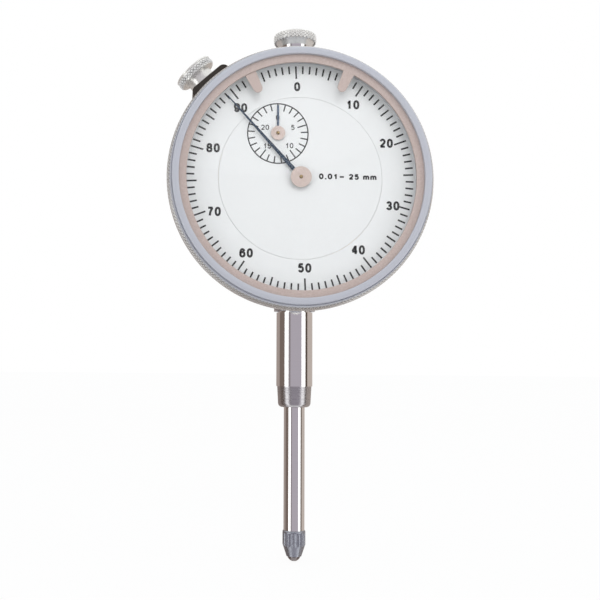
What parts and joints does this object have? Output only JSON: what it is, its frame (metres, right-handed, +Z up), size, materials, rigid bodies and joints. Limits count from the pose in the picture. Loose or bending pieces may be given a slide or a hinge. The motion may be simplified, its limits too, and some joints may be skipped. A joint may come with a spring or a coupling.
{
  "type": "dial indicator",
  "caption": "Plunger dial indicator with a round face, turning bezel with two limit markers, turn counter, smooth clamping stem, rear lug, lifting knob and geared pointers.",
  "frame": {"origin": "on the plunger's axis, half way along the bare stem", "axes": "+Z up along the plunger towards the lifting knob, the dial faces -Y, +X to the right of the dial as it is read"},
  "size_m": [0.0574, 0.0355, 0.1186],
  "materials": {
    "satin_chrome": "satin chrome plate",
    "polished_steel": "polished",
    "dull_steel": "fine turned",
    "bright_steel": "bright",
    "spring_steel": "drawn wire",
    "brass": "brushed",
    "bronze": "turned",
    "gasket_rubber": "matte",
    "dial_white": "matte white",
    "beige_metal": "fine beige metallic",
    "spacer_metal": "satin",
    "blued_steel": "blued",
    "crystal": "clear",
    "ball_steel": "polished",
    "black_steel": "satin black"
  },
  "bodies": {
    "case": {"case": "satin_chrome", "back_cover": "satin_chrome", "back_gasket": "gasket_rubber", "back_cover_screws": "bright_steel", "stem": "polished_steel", "stem_bush": "dull_steel", "stem_top_bush": "bronze", "upper_bush": "polished_steel", "bezel_snap_ring": "spring_steel", "mid_plate": "brass", "plate_screws": "bright_steel", "plate_pillars": "bright_steel", "pillar_screws": "bright_steel", "front_plate": "brass", "front_plate_bushes": "bronze", "mid_plate_bushes": "bronze", "counter_bush": "bronze", "rack_cock": "brass", "rack_cock_bush": "bronze", "rack_cock_screws": "bright_steel", "guide_rail": "bright_steel", "guide_rail_screws": "bright_steel", "spring_post": "bright_steel", "return_spring": "spring_steel", "hairspring": "spring_steel", "hairspring_stud": "bright_steel", "centre_dial": "dial_white"},
    "spindle": {"spindle": "polished_steel", "lifting_knob": "polished_steel", "contact_point": "dull_steel", "contact_ball": "ball_steel", "guide_pin": "bright_steel"},
    "rack_gear": {"rack_arbor": "bright_steel", "rack_pinion": "bright_steel", "main_wheel": "brass", "counter_pinion": "bright_steel"},
    "centre_gear": {"centre_arbor": "bright_steel", "centre_pinion": "bright_steel", "main_pointer": "blued_steel", "main_hub": "beige_metal"},
    "counter_gear": {"counter_arbor": "bright_steel", "counter_wheel": "brass", "counter_pointer": "blued_steel", "counter_hub": "beige_metal"},
    "takeup_gear": {"takeup_arbor": "bright_steel", "takeup_wheel": "brass", "hairspring_collet": "brass"},
    "bezel": {"bezel": "satin_chrome", "crystal": "crystal", "crystal_gasket": "gasket_rubber", "spacer_ring": "spacer_metal", "scale_ring": "dial_white"},
    "left_marker": {"left_marker": "beige_metal"},
    "right_marker": {"right_marker": "beige_metal"},
    "clamp_block": {"clamp_block": "black_steel"},
    "clamp_screw": {"clamp_screw": "polished_steel"}
  },
  "joints": [
    {"name": "spindle_slide", "type": "slide", "parent": "case", "child": "spindle", "axis": [0, 0, 1], "range_m": [0, 0.025], "stiffness_N_per_m": 30, "springref_m": -0.027, "deforming": ["return_spring"]},
    {"name": "rack_gear_turn", "type": "hinge", "parent": "case", "child": "rack_gear", "pos_m": [-0.00361, 0, 0.0431], "axis": [0, 1, 0], "range_deg": [-905, 5]},
    {"name": "main_pointer_turn", "type": "hinge", "parent": "case", "child": "centre_gear", "pos_m": [0, 0, 0.0366], "axis": [0, 1, 0], "range_deg": [-10, 9010]},
    {"name": "counter_turn", "type": "hinge", "parent": "case", "child": "counter_gear", "pos_m": [-0.00493, 0, 0.04623], "axis": [0, 1, 0], "range_deg": [-5, 365]},
    {"name": "takeup_turn", "type": "hinge", "parent": "case", "child": "takeup_gear", "pos_m": [0.00526, 0, 0.03134], "axis": [0, 1, 0], "range_deg": [-905, 5], "deforming": ["hairspring"]},
    {"name": "bezel_turn", "type": "hinge", "parent": "case", "child": "bezel", "pos_m": [0, 0, 0.0366], "axis": [0, 1, 0], "continuous": true},
    {"name": "left_marker_turn", "type": "hinge", "parent": "bezel", "child": "left_marker", "pos_m": [0, 0, 0.0366], "axis": [0, 1, 0], "continuous": true},
    {"name": "right_marker_turn", "type": "hinge", "parent": "bezel", "child": "right_marker", "pos_m": [0, 0, 0.0366], "axis": [0, 1, 0], "continuous": true},
    {"name": "clamp_slide", "type": "slide", "parent": "case", "child": "clamp_block", "axis": [0.6626, 0, -0.749], "range_m": [0, 0.00025]},
    {"name": "clamp_screw_turn", "type": "hinge", "parent": "clamp_block", "child": "clamp_screw", "pos_m": [0, 0, 0.0366], "axis": [0.6626, 0, -0.749], "range_deg": [-5, 185]}
  ],
  "couplings": [
    {"joint": "rack_gear_turn", "follows": "spindle_slide", "rad_per_m": -628.32},
    {"joint": "main_pointer_turn", "follows": "spindle_slide", "rad_per_m": 6283.2},
    {"joint": "counter_turn", "follows": "spindle_slide", "rad_per_m": 251.33},
    {"joint": "takeup_turn", "follows": "spindle_slide", "rad_per_m": -628.32},
    {"joint": "clamp_screw_turn", "follows": "clamp_slide", "rad_per_m": 12566}
  ]
}
